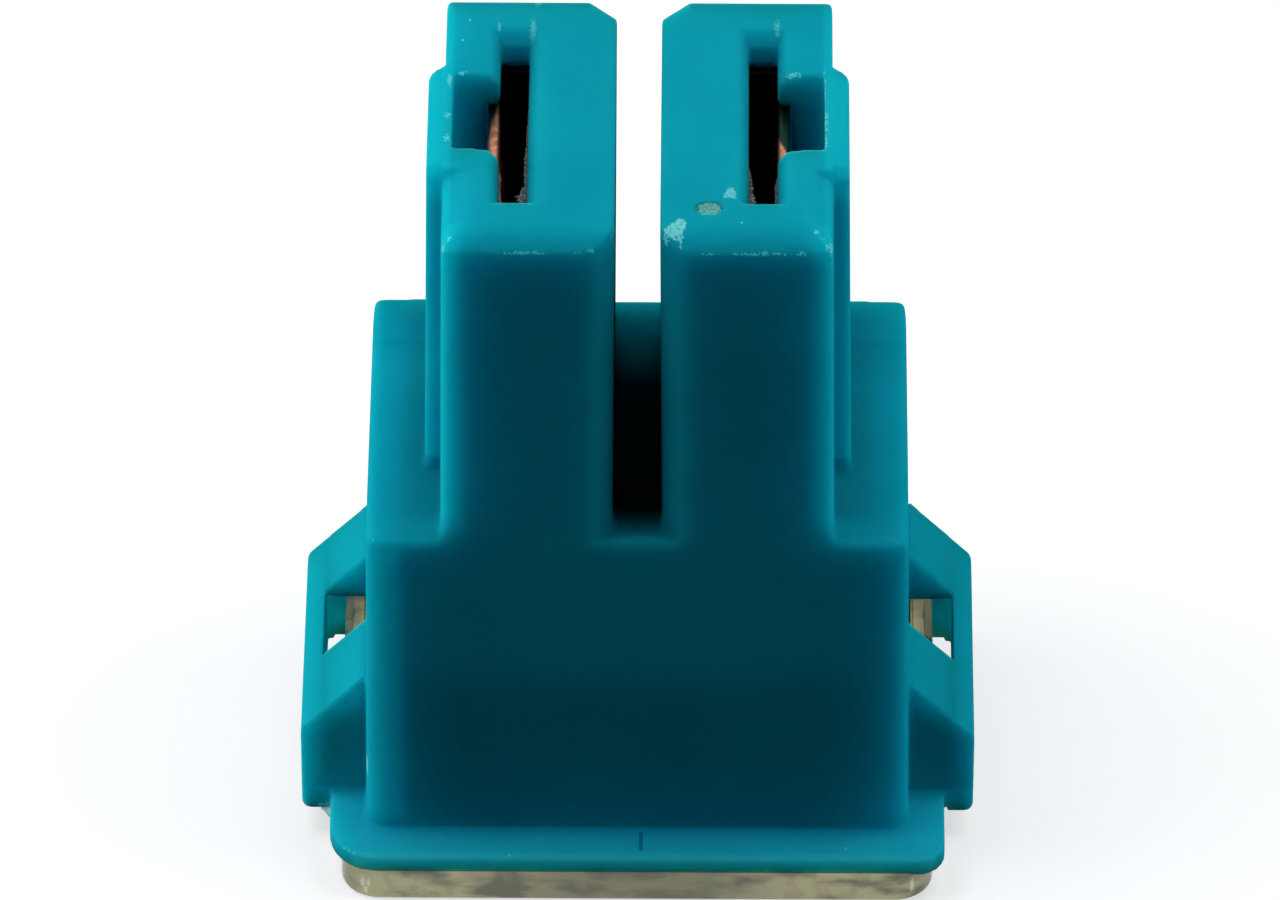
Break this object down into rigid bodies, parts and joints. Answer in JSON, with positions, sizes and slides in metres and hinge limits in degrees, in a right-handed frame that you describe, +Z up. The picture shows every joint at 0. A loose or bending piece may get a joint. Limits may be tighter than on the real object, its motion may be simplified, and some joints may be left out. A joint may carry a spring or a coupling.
{
  "type": "automotive cartridge fuse",
  "caption": "Cartridge fuse with a moulded plastic housing, two hollow legs over female blade terminals, side latch loops and a clear cover.",
  "frame": {"origin": "middle of the clear cover's flat underside, on which the fuse stands", "axes": "+Z up along the two legs, +X across the legs, -Y the front with the rounder flange corner on its left"},
  "size_m": [0.0222, 0.0156, 0.027],
  "materials": {
    "housing": "satin moulded, slightly translucent",
    "cover": "clear moulded plastic, faintly amber",
    "element": "bare copper alloy",
    "tin": "dull cast tin"
  },
  "bodies": {
    "root": {"housing": "housing", "clear_cover": "cover", "fuse_element": "element", "tin_slug": "tin"}
  },
  "joints": []
}
